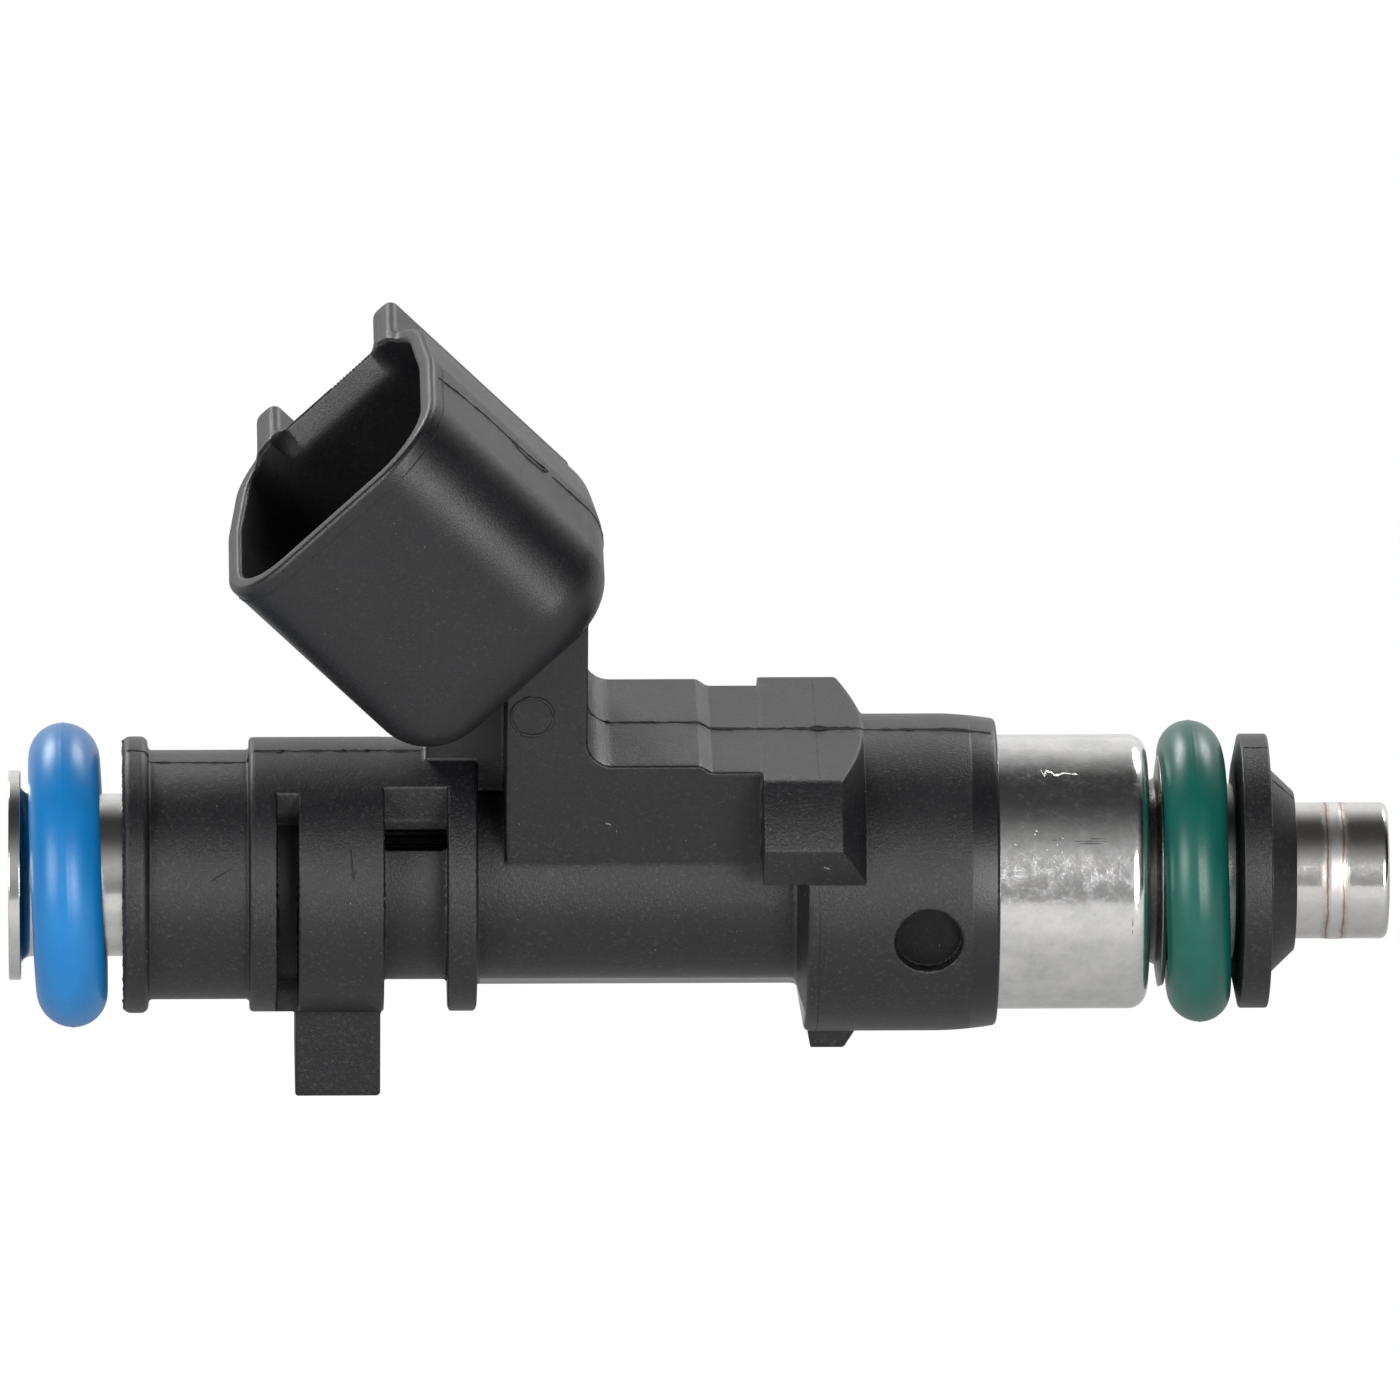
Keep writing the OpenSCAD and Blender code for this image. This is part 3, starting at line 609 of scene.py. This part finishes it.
# Profiles: station, radius and corner radius
SLEEVE = [(0, 3.9, 0.1), (0, 5.15, 0.08), (0.6, 5.15, 0.08), (0.6, 4.0, 0.5), (60.2, 4.0, 0.1)]
SLEEVE += [(63.1, 3.35, 0.05)]
SLEEVE += [(64.66, 3.35, 0.2), (64.91, 3.375, 0.3), (65.35, 3.375, 0.3), (65.6, 3.35, 0.2)]
SLEEVE += [(67.8, 3.35, 0.35), (67.8, 2.85, 0.1), (62.4, 2.85, 0.1), (59.8, 3.5, 0.1)]
SLEEVE += [(0.4, 3.5, 0.1)]
stands_for(turned("sleeve", SLEEVE, sleeve_steel), "valve_sleeve")

CAN = [(41.0, 6.0, 0.05), (41.0, 6.75, 0.05), (55.92, 6.75, 0.9), (55.92, 4.0, 0.05)]
CAN += [(55.2, 4.0, 0.05), (55.2, 6.0, 0.2)]
stands_for(turned("magnet_can", CAN, can_steel), "magnet_housing")

CARRIER = [(55.9, 4.0, 0.03), (60.2, 4.0, 0.03), (60.2, 4.3, 0.03), (56.9, 4.3, 0.3)]
CARRIER += [(56.75, 5.6, 0.06), (56.5, 5.7, 0.06), (56.35, 4.6, 0.2), (55.9, 4.4, 0.03)]
# Painted shade: the carrier's steel is darker than the other steel, so that it looks black in the
# gap between the can and the ring
dull_steel_painted_shade = steel_look("dull_steel_painted_shade", (0.34, 0.34, 0.33), (0.22, 0.22, 0.22), 0.24, 0.32)
stands_for(turned("ring_carrier", CARRIER, dull_steel_painted_shade), "oring_carrier")

SUPPORT = [(60.2, 4.0, 0.05), (60.2, 5.4, 0.1), (60.48, 6.75, 0.12), (61.87, 6.75, 0.12)]
SUPPORT += [(61.95, 5.1, 0.1), (63.2, 3.9, 0.12), (63.2, 3.35, 0.04)]
support_nylon = nylon_look("support_nylon", 0.03)
stands_for(turned("support_collar", SUPPORT, support_nylon), "support_ring")


def o_ring(name, node, plane, inner, section, tilt, slack, look):
    """A rubber ring with its mould's fine flash round the outside.

    It leans by tilt degrees, and slack moves part of it off its plane.
    """
    angles = np.linspace(0, 2 * math.pi, 96, endpoint=False)
    flash = 0.025 * np.exp(-(np.minimum(angles, 2 * math.pi - angles) / 0.035) ** 2)
    reach = inner + section + (section + flash) * np.cos(angles)
    spots = np.stack([plane + section * np.sin(angles), reach], 1)
    lean = math.tan(math.radians(tilt))

    def askew(x, r, turn):
        return x - lean * r * np.sin(turn) + slack * np.exp(-((turn - 1.8) / 0.6) ** 2), r

    outs = np.stack([np.sin(angles), np.cos(angles)], 1)
    stands_for(revolve(name, spots, outs, look, shape=askew), node)


o_ring("rail_seal_ring", "rail_oring", 2.92, 4.005, 1.74, 2.0, 0.0, blue_rubber)
o_ring("manifold_seal_ring", "manifold_oring", 58.28, 4.305, 1.56, 2.5, 0.15, green_rubber)

# ---------------------------------------------------------------- seams, scratches and dust

dice = np.random.default_rng(7)
dark_flash = Look("dark_flash", Roughness=0.6)
flash_tone = dark_flash.mix(dark_flash.noise(2.0), (0.002, 0.002, 0.002), (0.007, 0.007, 0.007))
dark_flash.set(Base_Color=flash_tone)
pale_dust = Look("pale_dust", Roughness=0.7)
dust_tone = pale_dust.mix(pale_dust.noise(3.0), (0.05, 0.05, 0.05), (0.24, 0.24, 0.24))
pale_dust.set(Base_Color=dust_tone)


NO_LINE = (0.31, 0.77, 0.55)    # a direction that no line follows


def strokes(name, lines, look, surface=None, step=0.1):
    """Thin uneven threads lying on the surface. Each line is (points, radius, wander)."""
    points, faces, sides = [], [], 6
    ring = np.linspace(0, 2 * math.pi, sides, endpoint=False)
    for stops, radius, wander in lines:
        stops = np.array(stops, float)
        gaps = np.linalg.norm(np.diff(stops, axis=0), axis=1)
        along = np.concatenate([[0], np.cumsum(gaps)])
        count = max(4, int(along[-1] / step))
        t = np.linspace(0, along[-1], count)
        path = np.stack([np.interp(t, along, stops[:, k]) for k in range(3)], 1)
        path[1:-1] += wander * dice.normal(size=(count - 2, 3))
        if surface:
            path = settle(surface, path, 0.4, 8)
            if np.linalg.norm(np.diff(path, axis=0), axis=1).sum() > along[-1] * 1.6 + 0.1:
                continue
        run = np.gradient(path, axis=0)
        run /= np.maximum(np.linalg.norm(run, axis=1), 1e-9)[:, None]
        side = np.cross(run, NO_LINE)
        side /= np.linalg.norm(side, axis=1)[:, None]
        up = np.cross(run, side)
        uneven = dice.normal(size=len(t[::3])).clip(-1.5, 2)
        thick = radius * (1 + 0.35 * np.interp(t, t[::3], uneven))
        thick[[0, -1]] *= 0.3
        first = sum(len(p) for p in points)
        tube = path[:, None] + thick[:, None, None] * (
            np.cos(ring)[None, :, None] * side[:, None] + np.sin(ring)[None, :, None] * up[:, None])
        points += [tube.reshape(-1, 3), path[:1], path[-1:]]
        i, j = np.meshgrid(np.arange(count - 1), np.arange(sides), indexing="ij")
        k = (j + 1) % sides
        a, b, c, d = i * sides + j, i * sides + k, (i + 1) * sides + k, (i + 1) * sides + j
        faces += [first + np.stack(three, -1).reshape(-1, 3) for three in ([a, d, c], [a, c, b])]
        j = np.arange(sides)
        k = (j + 1) % sides
        head, end = count * sides, count * sides + 1
        faces.append(first + np.stack([j, k, np.full(sides, head)], -1))
        last = (count - 1) * sides
        faces.append(first + np.stack([last + k, last + j, np.full(sides, end)], -1))
    thing = mesh_from(name, np.concatenate(points), np.concatenate(faces), look)
    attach(thing, "housing")


def at_mouth(u, v, w):
    """A point given in the connector's own directions."""
    return (MOUTH[0] + u * math.cos(TILT) + w * math.sin(TILT), MOUTH[1] + v,
            MOUTH[2] - u * math.sin(TILT) + w * math.cos(TILT))


def on_side(x, turn, r):
    """A point on the near side at a radius; turn is the angle above the horizontal."""
    return x, -r * math.cos(math.radians(turn)), r * math.sin(math.radians(turn))


def loop(centre, across, up, start=0, end=360):
    spots = []
    for i in range(33):
        a = math.radians(start + (end - start) * i / 32)
        spot = (c + math.cos(a) * p + math.sin(a) * q for c, p, q in zip(centre, across, up))
        spots.append(tuple(spot))
    return spots


def rim_line(w):
    """Round the near side of the connector at a depth w, just outside its wall."""
    r = SOCKET_R + WALL
    (left, near), (right, _) = SOCKET[:2]
    spots = [at_mouth(left - r, 0, w)]
    for centre, start in ((left, math.pi), (right, 1.5 * math.pi)):
        spots += [at_mouth(centre + r * math.cos(a), near + r * math.sin(a), w)
                  for a in np.linspace(start, start + 0.5 * math.pi, 9)]
    return spots + [at_mouth(right + r, 0.3, w)]


SEAM = [(5.8, 0, 6.8), (6.8, 0, 6.8), (6.95, 0, 6.15), (12.0, 0, 6.15), (12.15, 0, 6.75)]
SEAM += [(20.3, 0, 6.75)]
TOP_SEAM = [(28.3, 0, 11.0)] + [(x, 0, z) for x, z in arc(29.6, 9.54, 1.3, 180, 270)]
TOP_SEAM += [(33.5, 0, 8.24), (34.4, 0, 7.88), (41.6, 0, 7.88), (42.1, 0, 7.8), (48.2, 0, 7.6)]
COLLAR_FLASH = [(5.66, 6.58 * math.cos(a), 6.58 * math.sin(a))
                for a in np.linspace(0, 2 * math.pi, 61)]
FACE_SEAM = [at_mouth(SHROUD_FACE, v, w)
             for v, w in ((-1.1, -0.5), (-0.7, -2.2), (-0.45, -4.0), (-0.5, -6.0), (-0.3, -8.2))]
FACE_SEAM_2 = [at_mouth(SHROUD_FACE, v, w)
               for v, w in ((-0.4, -8.4), (-0.35, -10.6), (-0.2, -12.6))]
FACE_SEAM_2 += [at_mouth(6.2, -0.1, -13.6)]

# Parting lines, flash and blots on the overmold, as (points, radius, wander)
seams = [(SEAM, 0.065, 0.03), (TOP_SEAM, 0.07, 0.024)]
seams += [(FACE_SEAM, 0.05, 0.022), (FACE_SEAM_2, 0.045, 0.016)]
seams += [(COLLAR_FLASH, 0.05, 0.03)]
seams += [([(39.3, 0, 7.9), (40.0, 0, 7.9), (40.7, 0, 7.9)], 0.14, 0.03)]
seams += [([(37.6, 0, 7.9), (39.9, 0, 7.9)], 0.075, 0.05)]
seams += [([(44.0, 0, 7.8), (46.5, 0, 7.8)], 0.05, 0.03)]
# Gate mark, the line behind the rim, the mould's circle and the edges of the saddle
gate = loop(at_mouth(SHROUD_FACE, -0.5, -6.8), (0.8, 0, -0.8), (0, 0.42, 0), 170, 370)
seams += [(gate, 0.065, 0.012)]
seams += [(rim_line(-0.8), 0.035, 0.004)]
circle = (25.6, -4.95, 10.98), (1.03, 0, 0), (0, 0, 1.03)
seams += [(loop(*circle), 0.07, 0.01), (loop(*circle, 235, 305), 0.09, 0.012)]
seams += [([on_side(39.66, a, REAR_R) for a in range(18, -62, -4)], 0.022, 0.006)]
seams += [([(39.6, y, 7.88) for y in (-5.6, -0.3, 5.6)], 0.018, 0.004)]
# Scratches on the band and the neck
for r, scratch, radius, wander in (
        (BAND_R, ((16.75, 37), (16.85, 24)), 0.03, 0.01),
        (BAND_R, ((16.98, 28), (16.88, 23)), 0.022, 0.01),
        (NECK_R, ((9.9, 23), (10.4, 26), (10.9, 29)), 0.03, 0.02),
        (NECK_R, ((10.0, 25), (10.3, 22)), 0.022, 0.02)):
    seams += [([on_side(x, a, r) for x, a in scratch], radius, wander)]
strokes("moulding_seams", seams, dark_flash.material, overmold)
ring_seam = [([(60.6, 0, 6.75), (61.8, 0, 6.75)], 0.035, 0.008)]
ring_seam += [([(62.0, 0, 5.05), (63.15, 0, 3.93)], 0.03, 0.006)]
strokes("support_seam", ring_seam, dark_flash.material)

specks = []
for _ in range(60):
    x, turn = dice.uniform(6, 48), dice.uniform(-40, 60)
    spot = np.array(on_side(x, turn, 7.0))
    specks.append(([spot, spot + dice.normal(size=3) * 0.05], dice.uniform(0.012, 0.028), 0.0))
for _ in range(24):
    spot = np.array(at_mouth(dice.uniform(-5, 6), -7.6, dice.uniform(-12, -1)))
    specks.append(([spot, spot + dice.normal(size=3) * 0.05], dice.uniform(0.010, 0.024), 0.0))
specks += [([(29.2, -4.9, 5.05), (29.5, -4.9, 4.95)], 0.04, 0.01)]
specks += [([on_side(39.8, 27, 9.0), on_side(40.1, 25.5, 9.0)], 0.04, 0.01)]
strokes("dust", specks, pale_dust.material, overmold, 0.04)

pale_steel = Look("pale_scratch", Metallic=1.0, Roughness=0.5)
scratch_tone = pale_steel.mix(pale_steel.noise(3.0), (0.75, 0.75, 0.74), (0.95, 0.95, 0.94))
pale_steel.set(Base_Color=scratch_tone)
dark_steel = Look("dark_scratch", Metallic=1.0, Roughness=0.5)
scratch_tone = dark_steel.mix(dark_steel.noise(3.0), (0.05, 0.05, 0.05), (0.14, 0.14, 0.14))
dark_steel.set(Base_Color=scratch_tone)
squiggle = ((50.6, 74), (50.75, 70), (50.85, 73), (51.1, 72.5), (51.3, 70.5), (51.7, 72))
squiggle += ((52.4, 71),)
nicks = [([on_side(x, a, CAN_R) for x, a in squiggle], 0.035, 0.01)]
nicks += [([on_side(x, a, CAN_R), on_side(x + 0.08, a - 1, CAN_R)], 0.03, 0.0)
          for x, a in zip(dice.uniform(49.2, 51.6, 12), dice.uniform(22, 46, 12))]
strokes("pale_scratches", nicks, pale_steel.material, None, 0.05)
nicks = [([on_side(x, a, CAN_R), on_side(x + d, a, CAN_R)], 0.018, 0.004)
         for x, d, a in ((51.0, 0.5, 39.5), (52.1, 1.7, 39), (52.4, 1.1, 38), (52.9, 0.9, 40))]
nicks += [([on_side(x, a, CAN_R), on_side(x, a - d, CAN_R)], 0.016, 0.01)
          for x, a, d in ((54.3, 31, 4), (54.45, 30, 3), (55.0, 6, 7), (43.5, 12, 6))]
strokes("dark_scratches", nicks, dark_steel.material, None, 0.08)

# Pieces that keep their CAD shape
PLAIN = {
    "stainless": steel_look("plain_stainless", (0.70, 0.69, 0.68), (0.6, 0.59, 0.58), 0.2, 0.3),
    "core_steel": steel_look("core_steel", (0.60, 0.60, 0.61), (0.5, 0.5, 0.51), 0.3, 0.4),
    "seat_steel": steel_look("seat_steel", (0.50, 0.50, 0.52), (0.42, 0.42, 0.44), 0.25, 0.35),
    "ball_steel": steel_look("ball_steel", (0.80, 0.80, 0.82), (0.75, 0.75, 0.77), 0.06, 0.12),
    "spring_steel": steel_look("spring_steel", (0.55, 0.55, 0.56), (0.45, 0.45, 0.46), 0.25, 0.35),
    "brass": steel_look("brass", (0.78, 0.62, 0.30), (0.68, 0.52, 0.24), 0.25, 0.35),
    "copper_wire": steel_look("copper_wire", (0.62, 0.30, 0.16), (0.5, 0.22, 0.1), 0.3, 0.4),
    "tinned_terminal": steel_look("tinned_terminal", (0.86, 0.86, 0.85), (0.76, 0.76, 0.75),
                                  0.40, 0.50, grain=0.0012, metallic=0.6),
    "filter_plastic": rubber_look("filter_plastic", (0.72, 0.70, 0.62), (0.66, 0.63, 0.54)),
    "filter_cloth": rubber_look("filter_cloth", (0.70, 0.70, 0.68), (0.6, 0.6, 0.58)),
    "bobbin_plastic": rubber_look("bobbin_plastic", (0.62, 0.56, 0.44), (0.55, 0.5, 0.4)),
}

# The return spring keeps its CAD shape
spring = new_object("valve_spring", frame["nodes"]["return_spring"].data.copy())
spring.data.materials.clear()
spring.data.materials.append(PLAIN["spring_steel"])
stands_for(spring, "return_spring")
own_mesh(spring)

for part in frame["record"]["subparts"]:
    shown = frame["nodes"][part["node"]]
    if not shown.hide_render and part["material_slot"] in PLAIN:
        for held in shown.material_slots:
            held.material = PLAIN[part["material_slot"]]

# ---------------------------------------------------------------- camera, light and floor

# Distances from the target in metres, and the width of the frame there in millimetres
target = Vector((-24.24, 0, 9.45)) * MM
CAMERA_DISTANCE = 1.05
LAMP_DISTANCE = 0.9
FRAME_WIDTH = 68.6
SENSOR = 36
azimuth, elevation, roll = math.radians(-1.7), math.radians(26), math.radians(0.55)
back = Vector((math.sin(azimuth) * math.cos(elevation), -math.cos(azimuth) * math.cos(elevation),
               math.sin(elevation)))
camera = new_object("camera", bpy.data.cameras.new("camera"))
bpy.context.scene.camera = camera
camera.data.sensor_width = SENSOR
camera.data.lens = SENSOR * (CAMERA_DISTANCE / MM) / FRAME_WIDTH
camera.data.clip_start, camera.data.clip_end = 0.01, 20
turn = (-back).to_track_quat("-Z", "Y").to_matrix().to_4x4() @ Matrix.Rotation(roll, 4, "Z")
camera.matrix_world = Matrix.Translation(target + back * CAMERA_DISTANCE) @ turn

# The studio is a white sweep: bright low behind the object, dimmer over the camera, dark above
world = bpy.data.worlds.new("studio")
bpy.context.scene.world = world
world.use_nodes = True
tree = world.node_tree
background = tree.nodes["Background"].inputs
way = add_node(tree, "ShaderNodeTexCoord").outputs["Generated"]
split = add_node(tree, "ShaderNodeSeparateXYZ", way).outputs
flip = add_node(tree, "ShaderNodeMath", split["Y"], -1, operation="MULTIPLY")
swing = add_node(tree, "ShaderNodeMath", split["Z"], flip, operation="ARCTAN2")
share = add_node(tree, "ShaderNodeMapRange", swing, -math.pi, math.pi)
ramp = add_node(tree, "ShaderNodeValToRGB", share)
# Brightness at angles up from the horizon behind the camera, over the top and down the back
SWEEP = [(-180, 0.8), (0, 0.38), (12, 0.33), (30, 0.50), (42, 0.50), (56, 0.28), (72, 0.11),
         (84, 0.06), (104, 0.05), (116, 0.075), (128, 0.26), (142, 0.62), (152, 0.90), (180, 1.0)]
ramp.color_ramp.interpolation = "LINEAR"
while len(ramp.color_ramp.elements) > 1:
    ramp.color_ramp.elements.remove(ramp.color_ramp.elements[0])
for index, (angle, light) in enumerate(SWEEP):
    spot = (angle + 180) / 360
    stop = ramp.color_ramp.elements[0] if index == 0 else ramp.color_ramp.elements.new(spot)
    stop.position = spot
    stop.color = (light, light, light, 1)
plug(tree, background["Color"], ramp)
# Dimmer far out to both sides
sideways = add_node(tree, "ShaderNodeMath", split["X"], operation="ABSOLUTE")
dim = add_node(tree, "ShaderNodeMapRange", sideways, 0.60, 0.82, 1.0, 0.15)
plug(tree, background["Strength"], dim)
bpy.context.scene.view_settings.view_transform = "Standard"


def softbox(name, turn, rise, width, height, watts):
    """A soft light round the object, rise degrees up. turn 0 is the camera's side and 90 is +X."""
    a, e = math.radians(turn), math.radians(rise)
    way = Vector((math.sin(a) * math.cos(e), -math.cos(a) * math.cos(e), math.sin(e)))
    lamp = bpy.data.lights.new(name, "AREA")
    lamp.shape, lamp.size, lamp.size_y, lamp.energy = "RECTANGLE", width, height, watts
    thing = new_object(name, lamp)
    thing.rotation_mode = "QUATERNION"
    thing.rotation_quaternion = way.to_track_quat("Z", "Y")
    thing.location = target + way * LAMP_DISTANCE


softbox("left_front", -51, 20, 0.42, 0.5, 5.3)
softbox("right_front", 26, 18, 0.36, 0.55, 5.8)
softbox("left_back", -150, 32, 0.3, 0.3, 4.0)
softbox("right_back", 150, 32, 0.3, 0.3, 2.8)

floor_mesh = bpy.data.meshes.new("floor")
half, low = 3.0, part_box("overmold")[0].z - 0.0005
corners = [(-half, -half, low), (half, -half, low), (half, half, low), (-half, half, low)]
floor_mesh.from_pydata(corners, [], [(0, 1, 2, 3)])
floor = new_object("floor", floor_mesh)
paper = bpy.data.materials.new("paper")
paper.use_nodes = True
tree = paper.node_tree
tree.nodes.remove(tree.nodes["Principled BSDF"])
where = add_node(tree, "ShaderNodeTexCoord").outputs["Object"]
where = add_node(tree, "ShaderNodeSeparateXYZ", where).outputs
aside = add_node(tree, "ShaderNodeMath", where["Y"], operation="ABSOLUTE")
# The floor glows: the camera sees plain white, and the object sees it dimmer near itself, a painted
# shadow
shade = add_node(tree, "ShaderNodeMapRange", aside, 0.0, 0.035, 0.46, 0.87)
seen = add_node(tree, "ShaderNodeLightPath").outputs["Is Camera Ray"]
level = add_node(tree, "ShaderNodeMapRange", seen, 0.0, 1.0, shade, 1.0)
glow = add_node(tree, "ShaderNodeEmission", (1, 1, 1, 1), level)
plug(tree, tree.nodes["Material Output"].inputs["Surface"], glow)
floor_mesh.materials.append(paper)
